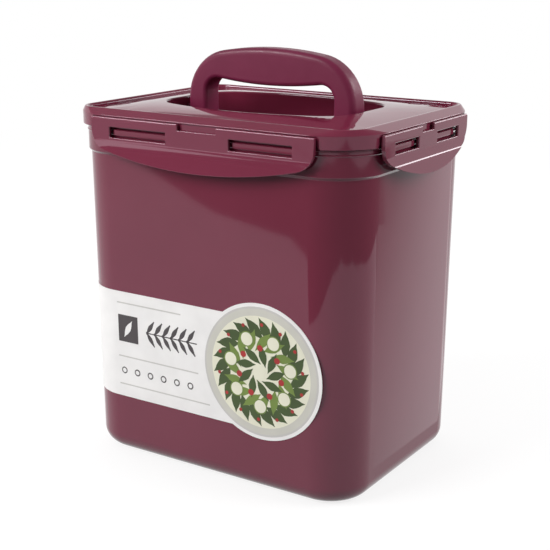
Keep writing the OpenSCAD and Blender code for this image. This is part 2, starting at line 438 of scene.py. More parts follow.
def round_edges(bm: BMesh, edges: Sequence[BMEdge], radius: float, segments: int = 4) -> None:
    """Rounds edges.

    Args:
        bm: Mesh that holds them.
        edges: Edges to round.
        radius: How far it runs along the faces beside an edge, which is its radius at a right angle.
        segments: Faces across it.
    """
    if edges:
        bmesh.ops.bevel(
            bm,
            geom=edges,
            offset=radius,
            offset_type="OFFSET",
            segments=segments,
            profile=0.5,
            affect="EDGES",
            material=-1,
            clamp_overlap=True,
        )


def round_rows(bm: BMesh, section: Section, first_row: int = 1) -> None:
    """Rounds each point of a swept section by its own radius.

    Args:
        bm: Mesh that holds the section.
        section: Its points.
        first_row: Number of the first point's row.
    """
    for at, (inset, height, radius) in enumerate(section):
        if radius:
            point = Vector((inset, height))
            before, after = (Vector(section[(at + step) % len(section)][:2]) for step in (-1, 1))
            setback = radius / math.tan((before - point).angle(after - point) / 2)
            segments = 8 if radius > 5 else 6 if radius > 1 else 4
            round_edges(bm, row_edges(bm, first_row + at), setback, segments)


def steep_edges(bm: BMesh, angle: float, wanted: Callable[[BMEdge], bool] | None = None) -> list[BMEdge]:
    """Edges whose faces meet at more than an angle.

    Args:
        bm: Mesh to search.
        angle: Least angle in radians.
        wanted: Further test that an edge has to pass.

    Returns:
        The edges.
    """
    return [
        edge
        for edge in bm.edges
        if len(edge.link_faces) == 2
        and edge.calc_face_angle(0) > angle
        and (wanted is None or wanted(edge))
    ]


def runs_across(edge: BMEdge, height: float) -> bool:
    """True for an edge that lies at a height and runs from left to right."""
    first, last = (vert.co for vert in edge.verts)
    return max(abs(first.z - height), abs(last.z - height), abs(first.y - last.y)) < MERGE


def cap(bm: BMesh, edges: Sequence[BMEdge]) -> None:
    """Fills closed borders with flat faces."""
    bmesh.ops.holes_fill(bm, edges=edges, sides=0)


def prism(bm: BMesh, points: Iterable[Vector], step: Vector) -> list[BMFace]:
    """A closed outline drawn along a step, with both ends filled.

    Args:
        bm: Mesh to add to.
        points: Corners of the outline.
        step: Way from one end to the other.

    Returns:
        Its faces.
    """
    before = set(bm.faces)
    Sweep(bm, points, closed=True, first_row=PRISM_ROW).line(step)
    cap(bm, [edge for edge in bm.edges if edge.is_boundary and set(edge.link_faces).isdisjoint(before)])
    return [face for face in bm.faces if face not in before]


def fill_outline(bm: BMesh) -> None:
    """Closes an outline into one flat face."""
    weld(bm)
    bmesh.ops.contextual_create(bm, geom=bm.edges[:])


def slice_through(bm: BMesh, normal: Vector, away: float) -> None:
    """Cuts every face along a plane at a distance from the middle."""
    whole = bm.verts[:] + bm.edges[:] + bm.faces[:]
    bmesh.ops.bisect_plane(bm, geom=whole, dist=1e-5, plane_co=normal * away, plane_no=normal)


def thicken(bm: BMesh, depth: float) -> None:
    """Gives a flat sheet a thickness towards the rear.

    Args:
        bm: Mesh that holds nothing else.
        depth: The thickness.
    """
    made = bmesh.ops.extrude_face_region(bm, geom=bm.faces[:])["geom"]
    back = [item for item in made if isinstance(item, BMVert)]
    bmesh.ops.translate(bm, vec=REAR * depth, verts=back)


def heading(azimuth: float, elevation: float = 0) -> Vector:
    """Direction of length 1, by degrees from the front towards the right and degrees up."""
    turn, lift = math.radians(azimuth), math.radians(elevation)
    return Vector((math.sin(turn) * math.cos(lift), -math.cos(turn) * math.cos(lift), math.sin(lift)))


def arc_distance(centre: tuple[float, float], radius: float, way: tuple[float, float]) -> float:
    """Distance from the middle to the far side of a circle, along a way of length 1."""
    along = centre[0] * way[0] + centre[1] * way[1]
    return along + math.sqrt(along**2 - centre[0] ** 2 - centre[1] ** 2 + radius**2)


@dataclass(frozen=True)
class Outline:
    """Rounded oblong that the hinge lines and every ring-shaped piece follow."""

    width: float = 202.0
    depth: float = 154.0
    corner: float = 33.0
    steps: int = 22

    @property
    def reach(self) -> Vector:
        """Distance of the corner arcs' centres from the middle."""
        return Vector((self.width / 2 - self.corner, self.depth / 2 - self.corner, 0))

    def ring(self, bm: BMesh, section: Section, closed: bool = False) -> None:
        """Sweeps a section once round the outline and rounds its points.

        Args:
            bm: Mesh to add to.
            section: Points of the section.
            closed: True joins its last point to its first.
        """
        reach = self.reach
        points = [Vector((-reach.x, inset - self.depth / 2, height)) for inset, height, _ in section]
        sweep = Sweep(bm, points, closed)
        for side in Side:
            spin = Matrix.Rotation(math.pi / 2 * side.value, 3, "Z")
            length = 2 * (reach.x if side.is_long else reach.y)
            sweep.line(spin @ RIGHT * length)
            sign_x = 1 if side in (Side.FRONT, Side.RIGHT) else -1
            sign_y = 1 if side in (Side.RIGHT, Side.REAR) else -1
            sweep.turn(Vector((sign_x * reach.x, sign_y * reach.y, 0)), 90, self.steps)
        weld(bm)
        round_rows(bm, section)

    def distance(self, inset: float, way: Vector) -> float:
        """Distance from the middle to the outline at an inset, along a way.

        Args:
            inset: Inset of the outline.
            way: Flat direction of length 1.

        Returns:
            The distance.
        """
        across, along = abs(way.x), abs(way.y)
        half_x, half_y = self.width / 2 - inset, self.depth / 2 - inset
        if half_x * along <= self.reach.y * across:
            return half_x / across
        if half_y * across <= self.reach.x * along:
            return half_y / along
        return arc_distance((self.reach.x, self.reach.y), self.corner - inset, (across, along))

    def seat(self, side: Side) -> Matrix:
        """Places what is drawn with its hinge along X and its face towards -Y on a side."""
        away = -(self.depth if side.is_long else self.width) / 2
        return Matrix.Rotation(math.pi / 2 * side.value, 4, "Z") @ Matrix.Translation((0, away, 0))


@dataclass(frozen=True)
class Bow:
    """Outline with upright ends, round corners and a bowed far edge, as flaps, handle and well have.

    The bow is the far edge's radius, and below 0 where that edge sags. The steps are those of a corner and
    of the far edge.
    """

    half: float
    far: float
    bow: float
    corner: float
    steps: tuple[int, int]

    @property
    def bow_mid(self) -> float:
        """Height of the bow's centre."""
        return self.far - self.bow

    @property
    def corner_at(self) -> tuple[float, float]:
        """Centre of the right corner's arc.

        Returns:
            Its distance from the middle line, and its height.
        """
        across = self.half - self.corner
        rise = math.sqrt((self.bow - self.corner) ** 2 - across**2)
        return across, self.bow_mid + math.copysign(rise, self.bow)

    @property
    def turn(self) -> float:
        """Degrees that a corner arc turns through."""
        across, height = self.corner_at
        return math.degrees(math.atan2(height - self.bow_mid, across)) % 180

    def arch(self, sweep: Sweep, right: Vector, far: Vector) -> None:
        """Draws a corner, the far edge and the other corner.

        Args:
            sweep: Sweep that has reached the right corner.
            right: Direction of the right end.
            far: Direction of the far edge.
        """
        across, height = self.corner_at
        corner_steps, bow_steps = self.steps
        axis = right.cross(far)
        sweep.turn(right * across + far * height, self.turn, corner_steps, axis)
        sweep.turn(far * self.bow_mid, 180 - 2 * self.turn, bow_steps, axis)
        sweep.turn(far * height - right * across, self.turn, corner_steps, axis)

    def distance(self, grow: float, way: Vector) -> float:
        """Distance from the middle to the outline, grown all round, along a way.

        Args:
            grow: How far the outline is grown.
            way: Flat direction of length 1.

        Returns:
            The distance.
        """
        across, along = abs(way.x), abs(way.y)
        corner_x, corner_y = self.corner_at
        if (self.half + grow) * along <= corner_y * across:
            return (self.half + grow) / across
        turn = math.radians(self.turn)
        end_x = corner_x + (self.corner + grow) * math.cos(turn)
        end_y = corner_y + (self.corner + grow) * math.sin(turn)
        if along * end_x < across * end_y:
            return arc_distance((corner_x, corner_y), self.corner + grow, (across, along))
        return arc_distance((0, self.bow_mid), self.bow + grow, (across, along))


def add_object(name: str, bm: BMesh, materials: Sequence[bpy.types.Material]) -> bpy.types.Object:
    """Turns a mesh into an object of the scene.

    Args:
        name: Name of the object and of its mesh.
        bm: The mesh in metres, which is freed.
        materials: Its materials.

    Returns:
        The object.
    """
    mesh = bpy.data.meshes.new(name)
    bm.to_mesh(mesh)
    bm.free()
    for material in materials:
        mesh.materials.append(material)
    made = bpy.data.objects.new(name, mesh)
    bpy.context.scene.collection.objects.link(made)
    return made


def finish_piece(
    name: str,
    bm: BMesh,
    materials: Sequence[bpy.types.Material],
    body: str,
    node: str,
) -> None:
    """Turns a mesh drawn in millimetres into a piece that replaces a node.

    Args:
        name: Name of the piece.
        bm: Its mesh, which is freed.
        materials: Its materials.
        body: Body that it rides on.
        node: Node that it stands for.
    """
    weld(bm)
    bmesh.ops.recalc_face_normals(bm, faces=bm.faces[:])
    for face in bm.faces:
        face.smooth = True
    for edge in bm.edges:
        edge.smooth = edge.calc_face_angle(0) < SHARP
    bmesh.ops.scale(bm, vec=(MM, MM, MM), verts=bm.verts[:])
    piece = add_object(name, bm, materials)
    weighted = piece.modifiers.new("even_shading", "WEIGHTED_NORMAL")
    weighted.keep_sharp = True
    weighted.weight = 80
    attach(piece, body)
    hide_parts(node)
    log.info("%s: %d faces on %s, for node %s", name, len(piece.data.polygons), body, node)


# Sub-assemblies


@dataclass
class Tub:
    """Tapered tub with its upper band, beads, lugs and recessed base."""

    outline: Outline
    wall: float = 2.2
    floor: float = 2.6
    base_round: float = 11.0
    recess: float = 0.8
    foot_in: float = 22.84
    floor_in: float = 1.0
    side_in: float = 5.0
    draft: float = 0.6
    band_z: float = 187.0
    band_in: float = 3.5
    inner_lift: float = 2.0
    rim_z: float = 206.0
    beads: tuple[float, float] = (200.0, 202.6)
    bead: float = 0.6
    lug_nose: float = 1.6
    lug_z: tuple[float, float] = (199.4, 203.4)
    long_lug: tuple[float, float] = (22.5, 60.5)
    short_lug: tuple[float, float] = (12.5, 38.0)
    lug_edge: float = 0.3

    def side_at(self, height: float) -> float:
        """Inset of the tub's outer face at a height."""
        return self.side_in + (self.band_z - height) * math.tan(math.radians(self.draft))

    def section(self) -> Section:
        """Section from the recess under the base, up the outside and down the inside.

        Returns:
            Its points.
        """
        band_top = self.band_z + self.side_in - self.band_in
        beads = [
            point
            for height in self.beads
            for point in (
                (self.band_in, height - self.bead, 0.15),
                (self.band_in - self.bead, height, 0.35),
                (self.band_in, height + self.bead, 0.15),
            )
        ]
        inside = self.band_in + self.wall
        return [
            (self.foot_in, self.recess, 0),
            (self.foot_in, 0, 0.3),
            (self.side_at(0), 0, self.base_round),
            (self.side_in, self.band_z, 0.5),
            (self.band_in, band_top, 0.6),
            *beads,
            (self.band_in, self.rim_z, 0.6),
            (inside, self.rim_z, 0.6),
            (inside, band_top + self.inner_lift, 0.8),
            (self.side_in + self.wall, self.band_z, 0.8),
            (self.side_at(self.floor) + self.wall, self.floor, self.base_round - self.wall),
            (self.foot_in + self.floor_in, self.floor, 0),
        ]

    def add_lugs(self, bm: BMesh) -> None:
        """Adds the latch lugs to the band on all four sides.

        Args:
            bm: Mesh of the tub.
        """
        low, high = self.lug_z
        slope = (self.band_in - self.lug_nose) / 2
        shape = [
            (self.band_in + self.wall / 2, low),
            (self.lug_nose, low),
            (self.lug_nose, high - slope),
            (self.band_in, high),
            (self.band_in + self.wall / 2, high),
        ]
        for side in Side:
            near, far = self.long_lug if side.is_long else self.short_lug
            for start in (near, -far):
                points = [Vector((start, inset, height)) for inset, height in shape]
                faces = prism(bm, points, RIGHT * (far - near))
                nose = {edge for face in faces for edge in face.edges if edge.calc_face_angle(0) > SHARP}
                verts = {vert for face in faces for vert in face.verts}
                bmesh.ops.transform(bm, matrix=self.outline.seat(side), verts=list(verts))
                round_edges(bm, list(nose), self.lug_edge, 2)

    def build(self) -> None:
        """Builds and dresses the tub."""
        bm = bmesh.new()
        self.outline.ring(bm, self.section())
        cap(bm, [edge for edge in bm.edges if edge.is_boundary])
        self.add_lugs(bm)
        finish_piece("tub_shell", bm, [TUB_GLOSS.material()], Body.TUB.value, "body")


@dataclass
class Lid:
    """Lid with its sloping rim, crowned deck, handle well, pivot bosses and plug wall, and its seal.

    The skirt is given by its outer and inner inset and its lower edge, and so is the plug. The corners are
    squared in full between the first two insets of squared, and not at all past the third.
    """

    outline: Outline
    hinge_z: float = HINGE_Z
    rim: tuple[float, float] = (0.65, 10.0)
    rim_edge: float = 210.7
    rim_slope: float = 23.9
    step_drop: float = 0.1
    deck: float = 211.0
    deck_in: float = 10.8
    crown: float = 3.4
    crown_curve: float = 1.5
    grid: float = 4.0
    thick: float = 2.0
    skirt: tuple[float, float, float] = (1.7, 3.0, 205.4)
    plug: tuple[float, float, float] = (6.2, 8.0, 201.0)
    channel: tuple[float, float] = (206.0, 209.74)
    seal_room: float = 0.1
    hinge_room: float = 1.25
    hinge_reach: tuple[float, float] = (76.4, 52.4)
    hinge_edge: float = 0.2
    corner_drop: float = 2.0
    edge_reach: float = 0.4
    flush: float = 0.05
    squaring: float = 13.0
    squared: tuple[float, float, float] = (7.5, 10.0, 30.0)
    well: Bow = Bow(63.0, 43.3, 150.0, 22.0, steps=(18, 36))
    well_floor: float = 199.1
    well_edge: float = 1.1
    well_round: float = 2.5
    well_foot: float = 4.0
    under_edge: float = 0.5
    lip: float = 1.6
    boss: tuple[float, float, float] = (64.0, 69.5, 7.6)

    @property
    def step_z(self) -> float:
        """Height of the step under the rim's edge."""
        return self.hinge_z - self.step_drop

    def away(self, place: Vector) -> Vector:
        """Flat way from the centre of the nearest corner's arc to a place, as on the rear right corner."""
        reach = self.outline.reach
        return Vector((abs(place.x) - reach.x, abs(place.y) - reach.y, 0))

    @staticmethod
    def push(place: Vector, step_x: float, step_y: float) -> None:
        """Moves a place outwards by a step along X and one along Y."""
        place.x += math.copysign(step_x, place.x)
        place.y += math.copysign(step_y, place.y)

    def at_flap(self, place: Vector) -> bool:
        """True for a place beside a flap, and not at a corner between two of them."""
        return abs(place.x) < self.hinge_reach[0] or abs(place.y) < self.hinge_reach[1]

    def section(self) -> Section:
        """Section from the deck over the rim, down the skirt, through the channel and round the plug.

        Returns:
            Its points.
        """
        step = self.step_z
        peak = self.rim_edge + (self.rim[1] - self.rim[0]) * math.tan(math.radians(self.rim_slope))
        under = self.deck - self.thick
        return [
            (self.deck_in, self.deck, 0),
            (self.rim[1], self.deck, 0.25),
            (self.rim[1], peak, 2.2),
            (self.rim[0], self.rim_edge, 0.45),
            (self.rim[0], step, 0),
            (self.skirt[0], step, 0),
            (self.skirt[0], self.skirt[2], 0.25),
            (self.skirt[1], self.skirt[2], 0.25),
            (self.skirt[1], self.channel[1], 0),
            (self.plug[0], self.channel[1], 0),
            (self.plug[0], self.plug[2], 0.8),
            (self.plug[1], self.plug[2], 0.8),
            (self.plug[1], under, 0.4),
            (self.deck_in, under, 0),
        ]

    def open_hinges(self, bm: BMesh) -> None:
        """Lifts the underside of the rim along the flaps, so that their rolled edges turn below it.

        Args:
            bm: Mesh of the lid's ring.
        """
        step = self.step_z
        verts = [vert for vert in bm.verts if abs(vert.co.z - step) < MERGE and self.at_flap(vert.co)]
        bmesh.ops.translate(bm, vec=UP * self.hinge_room, verts=verts)
        lifted = step + self.hinge_room
        under = [
            edge
            for edge in row_edges(bm, RIM_ROW)
            if all(abs(vert.co.z - lifted) < MERGE for vert in edge.verts)
        ]
        round_edges(bm, under, self.hinge_edge, 3)

    def fill_corners(self, bm: BMesh) -> None:
        """Brings the skirt out to the rim's edge at the corners, between the flaps, and deepens it there.

        Args:
            bm: Mesh of the lid's ring.
        """
        outer, inner, low = self.skirt
        grow = outer - self.rim[0] - self.flush
        for vert in bm.verts:
            place = vert.co
            if self.at_flap(place):
                continue
            away = self.away(place)
            inset = self.outline.corner - away.length
            if self.rim[0] < inset - self.edge_reach < outer and place.z < self.hinge_z:
                self.push(place, grow * away.x / away.length, grow * away.y / away.length)
            if inset < inner + 2 * self.flush and place.z < low + self.edge_reach:
                place.z -= self.corner_drop

    def square_corners(self, bm: BMesh) -> None:
        """Draws the ridge and the deck out into tighter corners than the rim's edge has.

        Args:
            bm: Mesh of the lid.
        """
        start, full, end = self.squared
        bm.normal_update()
        for vert in bm.verts:
            place = vert.co
            away = self.away(place)
            faces_down = vert.normal.z < -0.5
            below_deck = place.z < self.deck - 0.5
            if faces_down or below_deck or min(away.x, away.y) < -MERGE:
                continue
            inset = self.outline.corner - away.length
            share = min((inset - self.rim[0]) / (start - self.rim[0]), (end - inset) / (end - full), 1)
            if share > 0:
                shift = self.squaring * share
                self.push(place, shift * (1 - away.x / away.length), shift * (1 - away.y / away.length))

    def well_wall(self, bm: BMesh, section: Section, first_row: int) -> None:
        """Sweeps a section round the barrel-shaped well.

        Args:
            bm: Mesh to add to.
            section: Points as distance out from the well's wall, height and radius.
            first_row: Number of the first point's row.
        """
        _, along = self.well.corner_at
        points = [Vector((self.well.half + out, -along, z)) for out, z, _ in section]
        sweep = Sweep(bm, points, first_row=first_row)
        for sign in (1, -1):
            sweep.line(REAR * sign * 2 * along)
            self.well.arch(sweep, RIGHT * sign, REAR * sign)
        weld(bm)
        round_rows(bm, section, first_row)

    @staticmethod
    def border(bm: BMesh, height: float) -> list[BMEdge]:
        """Open edges of the mesh at a height.

        Args:
            bm: Mesh to search.
            height: Height of the edges.

        Returns:
            The edges.
        """
        return [
            edge
            for edge in bm.edges
            if edge.is_boundary and all(abs(vert.co.z - height) < MERGE for vert in edge.verts)
        ]

    def add_well(self, bm: BMesh) -> None:
        """Adds the deck, the well, its underside and the pivot bosses beside it.

        Args:
            bm: Mesh of the lid's ring.
        """
        under = self.deck - self.thick
        base = self.well_floor - self.thick
        inner = [
            (self.lip, self.deck, 0),
            (0, self.deck, self.well_edge),
            (0, self.well_floor, self.well_round),
            (-self.well_foot, self.well_floor, 0),
        ]
        outer = [
            (self.thick + self.lip, under, 0),
            (self.thick, under, self.under_edge),
            (self.thick, base, self.well_round),
            (-self.well_foot, base, 0),
        ]
        self.well_wall(bm, inner, WELL_ROW)
        self.well_wall(bm, outer, UNDERSIDE_ROW)
        for height in (self.deck, under):
            bmesh.ops.triangle_fill(bm, edges=self.border(bm, height), use_beauty=True, normal=UP)
        for height in (self.well_floor, base):
            cap(bm, self.border(bm, height))
        near, far, half = self.boss
        for start in (near, -far):
            ends = [(start, -half), (start + far - near, -half), (start + far - near, half), (start, half)]
            low = self.well_floor - self.thick / 2
            prism(bm, [Vector((x, y, low)) for x, y in ends], UP * (self.deck - self.thick / 2 - low))

    def crown_deck(self, bm: BMesh) -> None:
        """Cuts the deck into a fine grid and raises it from the rim to the lip of the well.

        Args:
            bm: Mesh of the lid.
        """
        under = self.deck - self.thick
        for normal, half in ((RIGHT, self.outline.width / 2), (REAR, self.outline.depth / 2)):
            for number in range(1 - int(half / self.grid), int(half / self.grid)):
                flat = [
                    face
                    for face in bm.faces
                    if all(abs(vert.co.z - face.verts[0].co.z) < MERGE for vert in face.verts)
                    and min(abs(face.verts[0].co.z - height) for height in (self.deck, under)) < MERGE
                ]
                geom = flat + list({edge for face in flat for edge in face.edges})
                geom += list({vert for face in flat for vert in face.verts})
                bmesh.ops.bisect_plane(
                    bm, geom=geom, dist=1e-4, plane_co=normal * number * self.grid, plane_no=normal
                )
        for vert in bm.verts:
            away = vert.co.to_2d().length
            if vert.co.z > under - MERGE and away:
                way = vert.co.to_2d() / away
                rim = self.outline.distance(self.deck_in, way)
                lip = self.well.distance(self.lip, way)
                left = min(max((away - lip) / (rim - lip), 0), 1)
                vert.co.z += self.crown * (1 - left**self.crown_curve)

    def build(self) -> None:
        """Builds and dresses the lid and its seal."""
        bm = bmesh.new()
        self.outline.ring(bm, self.section())
        self.open_hinges(bm)
        self.fill_corners(bm)
        self.add_well(bm)
        self.crown_deck(bm)
        self.square_corners(bm)
        finish_piece("lid_shell", bm, [LID_GLOSS.material()], Body.LID.value, "lid")
        self.build_seal()

    def build_seal(self) -> None:
        """Builds and dresses the silicone seal in the lid's channel."""
        bm = bmesh.new()
        near, far = self.skirt[1] + self.seal_room, self.plug[0] - self.seal_room
        low, high = self.channel[0] + self.seal_room, self.channel[1] - self.seal_room
        section = [(near, low, 0.7), (far, low, 0.7), (far, high, 0.3), (near, high, 0.3)]
        self.outline.ring(bm, section, closed=True)
        finish_piece("seal_ring", bm, [SEAL_MILKY.material()], Body.LID.value, "seal")


@dataclass(frozen=True)
class FlapSizes:
    """Sizes that differ between the long and the short flaps.

    A bend is a distance below the hinge, and how far the flap's face stands out there.
    """

    half: float
    rise: float
    slot: tuple[float, float]
    notch: float
    step: tuple[tuple[float, float], ...]
    drop: float = 25.0

    @property
    def bends(self) -> tuple[tuple[float, float], ...]:
        """Bends of the face below the slots, down to the lip's lower edge."""
        return (12, 0), (12.6, 0.18), (14, 0.55), *self.step, (18, 1.92), (21, 2.9), (self.drop, 4.2)


SOFT_STEP = ((16.4, 1.15), (17.4, 1.6))
LEDGE = ((16.4, 1.05), (16.7, 1.2), (17, 1.5), (17.2, 1.65), (17.4, 1.73))
LONG_FLAP = FlapSizes(half=75, rise=9.5, slot=(21.5, 61.5), notch=13, step=SOFT_STEP)
SHORT_FLAP = FlapSizes(half=51, rise=12.5, slot=(11.5, 39), notch=7, step=LEDGE)


@dataclass
class LatchFlap:
    """Latch flap with two slots, a gap in its hinge and a flared finger lip."""

    outline: Outline
    side: Side
    hinge_z: float = HINGE_Z
    roll: float = 0.9
    proud: float = 0.9
    thick: float = 2.2
    corner: float = 12.0
    slot_z: tuple[float, float] = (4.6, 10.6)
    notch_h: float = 2.6
    hinge_edge: float = 1.05
    outer_edge: float = 0.8
    slot_edge: float = 0.9
    steps: tuple[int, int] = (10, 32)

    @property
    def sizes(self) -> FlapSizes:
        """Sizes of the flaps on this side."""
        return LONG_FLAP if self.side.is_long else SHORT_FLAP

    def sheet(self, bm: BMesh) -> None:
        """Draws the flap's face as a flat sheet, with the hinge line at height 0.

        Args:
            bm: Empty mesh.
        """
        half, rise = self.sizes.half, self.sizes.rise
        bow = (half**2 + rise**2) / (2 * rise)
        shape = Bow(half, self.sizes.drop, bow, self.corner, self.steps)
        upright = UP * (self.roll + shape.corner_at[1])
        sweep = Sweep(bm, [Vector((-half, -self.proud, self.roll))])
        sweep.line(-upright)
        shape.arch(sweep, -RIGHT, -UP)
        sweep.line(upright)
        sweep.line(RIGHT * -2 * half)
        fill_outline(bm)

    def cut(self, bm: BMesh) -> None:
        """Cuts the slots and the gap in the hinge, and the lines that the lip bends along.

        Args:
            bm: Mesh of the flat sheet.
        """
        for sign in (-1, 1):
            for x in (self.sizes.notch, *self.sizes.slot):
                slice_through(bm, RIGHT, sign * x)
        for down in (self.notch_h, *self.slot_z, *(down for down, _ in self.sizes.bends[:-1])):
            slice_through(bm, UP, -down)
        holes = [face for face in bm.faces if self.in_hole(face.calc_center_median(), 0)]
        bmesh.ops.delete(bm, geom=holes, context="FACES")

    def in_hole(self, point: Vector, room: float) -> bool:
        """Tells whether a point lies in a slot or in the gap in the hinge.

        Args:
            point: Point on the flap.
            room: How far outside them it may lie.

        Returns:
            True if it does.
        """
        near, far = self.sizes.slot
        high, low = self.slot_z
        across, down = abs(point.x), -point.z
        in_slot = near - room < across < far + room and high - room < down < low + room
        return in_slot or (across < self.sizes.notch + room and down < self.notch_h + room)

    def flare(self, down: float) -> float:
        """How far the face stands out.

        Args:
            down: Distance below the hinge.

        Returns:
            The distance out.
        """
        bends = self.sizes.bends
        for (start, low), (end, high) in zip(bends, bends[1:]):
            if start < down <= end + MERGE:
                return low + (high - low) * (down - start) / (end - start)
        return 0.0

    def shape(self, bm: BMesh) -> None:
        """Gives the sheet its thickness, rolls its upper edge, flares the lip and rounds the edges.

        Args:
            bm: Mesh of the cut sheet.
        """
        thicken(bm, self.thick)
        bmesh.ops.recalc_face_normals(bm, faces=bm.faces[:])
        for vert in bm.verts:
            vert.co.y -= self.flare(-vert.co.z)

        def outer(edge: BMEdge) -> bool:
            """True for the edges round the flap, away from its slots and the gap."""
            return not all(self.in_hole(vert.co, MERGE) for vert in edge.verts)

        along_hinge = steep_edges(bm, SHARP, lambda edge: runs_across(edge, self.roll))
        round_edges(bm, along_hinge, self.hinge_edge, 5)
        round_edges(bm, steep_edges(bm, STEEP, outer), self.outer_edge)
        round_edges(bm, steep_edges(bm, STEEP), self.slot_edge)

    def build(self) -> None:
        """Builds and dresses the flap on its side."""
        bm = bmesh.new()
        self.sheet(bm)
        self.cut(bm)
        self.shape(bm)
        seat = self.outline.seat(self.side) @ Matrix.Translation((0, 0, self.hinge_z))
        bmesh.ops.transform(bm, matrix=seat, verts=bm.verts[:])
        node = f"{self.side.name.lower()}_flap"
        finish_piece(f"{node}_latch", bm, [LID_GLOSS.material()], node, node)


@dataclass
class CarryHandle:
    """Thick D-shaped handle with rounded edges, round feet and stub pins."""

    pivot_z: float = 207.0
    thick: float = 15.2
    shape: Bow = Bow(58.5, 39.7, 206.0, 30.0, steps=(14, 28))
    leg: float = 13.8
    grip: float = 21.7
    sag: float = 2.5
    gap_corner: float = 8.5
    outer_round: float = 4.0
    inner_round: float = 2.6
    foot_share: float = 0.98
    pin: float = 2.5
    pin_end: float = 66.2
    pin_edge: float = 0.4

    @property
    def foot(self) -> float:
        """Radius of the round feet, below the pivot."""
        return self.thick / 2

    @property
    def gap(self) -> Bow:
        """Outline of the finger gap, whose far edge is the sagging underside of the grip.

        Returns:
            The outline.
        """
        half = self.shape.half - self.leg
        reach = half - self.gap_corner
        span = (reach**2 + self.sag**2) / (2 * self.sag)
        far = self.shape.far - self.grip
        return Bow(half, far, self.gap_corner - span, self.gap_corner, self.shape.steps)

    def draw(self, bm: BMesh, shape: Bow, row: int) -> None:
        """Draws an outline from the right foot over its far edge to the left foot.

        Args:
            bm: Mesh to add to.
            shape: The outline.
            row: Number of its row.
        """
        upright = UP * (self.foot + shape.corner_at[1])
        sweep = Sweep(bm, [Vector((shape.half, 0, -self.foot))], first_row=row)
        sweep.line(upright)
        shape.arch(sweep, RIGHT, UP)
        sweep.line(-upright)

    def make_loop(self, bm: BMesh) -> None:
        """Joins the outlines, gives the loop its thickness and rounds feet and edges.

        Args:
            bm: Mesh that holds both outlines.
        """
        bmesh.ops.bridge_loops(bm, edges=bm.edges[:])
        thicken(bm, self.thick)
        bmesh.ops.translate(bm, vec=REAR * -self.thick / 2, verts=bm.verts[:])
        bmesh.ops.recalc_face_normals(bm, faces=bm.faces[:])
        soles = steep_edges(bm, SHARP, lambda edge: runs_across(edge, -self.foot))
        round_edges(bm, soles, self.foot * self.foot_share, 10)
        for row, radius in ((OUTER_ROW, self.outer_round), (INNER_ROW, self.inner_round)):
            drawn = set(row_edges(bm, row))
            round_edges(bm, [edge for edge in steep_edges(bm, SQUARE) if edge in drawn], radius, 6)

    def add_pins(self, bm: BMesh) -> None:
        """Adds the stub pins that the handle turns on.

        Args:
            bm: Mesh of the loop.
        """
        start = self.shape.half - self.leg / 2
        length = self.pin_end - start
        lying = Matrix.Rotation(math.pi / 2, 4, "Y")
        for sign in (-1, 1):
            made = bmesh.ops.create_cone(
                bm,
                cap_ends=True,
                segments=32,
                radius1=self.pin,
                radius2=self.pin,
                depth=length,
                matrix=Matrix.Translation((sign * (start + length / 2), 0, 0)) @ lying,
            )
            edges = {edge for vert in made["verts"] for edge in vert.link_edges}
            rims = [edge for edge in edges if edge.calc_face_angle(0) > SQUARE]
            round_edges(bm, rims, self.pin_edge, 2)

    def build(self) -> None:
        """Builds and dresses the handle."""
        bm = bmesh.new()
        self.draw(bm, self.shape, OUTER_ROW)
        self.draw(bm, self.gap, INNER_ROW)
        self.make_loop(bm)
        self.add_pins(bm)
        bmesh.ops.translate(bm, vec=UP * self.pivot_z, verts=bm.verts[:])
        finish_piece(
            "carry_handle", bm, [HANDLE_SATIN.material()], Body.HANDLE.value, "handle"
        )


@dataclass(frozen=True)
class PrintRing:
    """Like prints in a ring round the plate: leaves that lean against their spokes, or plain discs.

    The half sizes run along and across a print, and the shift is a share of the step from print to print.
    """

    ink: Ink
    layer: int
    count: int
    radius: float
    half: tuple[float, float]
    segments: int
    shift: float = 0.0
    lean: float | None = None


LEAF_TIP = 0.3
AT_TIP = 0.97
BAR = 4
PLATE = ((Ink.RULE, 0.95), (Ink.PLATE, 0.92), (Ink.CREAM, 0.82))
WREATH = (
    PrintRing(Ink.MOSS, 4, 22, 25.5, (6.6, 3.3), 16, lean=40),
    PrintRing(Ink.LEAF, 5, 15, 18.5, (6.2, 2.8), 16, shift=0.5, lean=-35),
    PrintRing(Ink.MOSS, 6, 9, 10.5, (5.6, 2.6), 16, lean=25),
    PrintRing(Ink.LEAF, 6, 7, 20.5, (4.6, 4.6), 20, shift=0.25),
    PrintRing(Ink.CREAM, 7, 7, 20.5, (3.9, 3.9), 20, shift=0.25),
    PrintRing(Ink.BERRY, 7, 7, 14.5, (1.9, 1.9), 16, shift=0.75),
    PrintRing(Ink.BERRY, 7, 14, 28.5, (1.1, 1.1), 12, shift=0.4),
    PrintRing(Ink.CREAM, 7, 1, 0, (3.4, 3.4), 20),
)


@dataclass(frozen=True)
class PrintRow:
    """Like prints in a row along the band: leaves that lean against it, or plain discs and bars.

    The start is the middle of the first print, and the half sizes run along and across a print.
    """

    ink: Ink
    layer: int
    start: tuple[float, float]
    half: tuple[float, float]
    segments: int
    count: int = 1
    step: float = 0.0
    lean: float | None = None


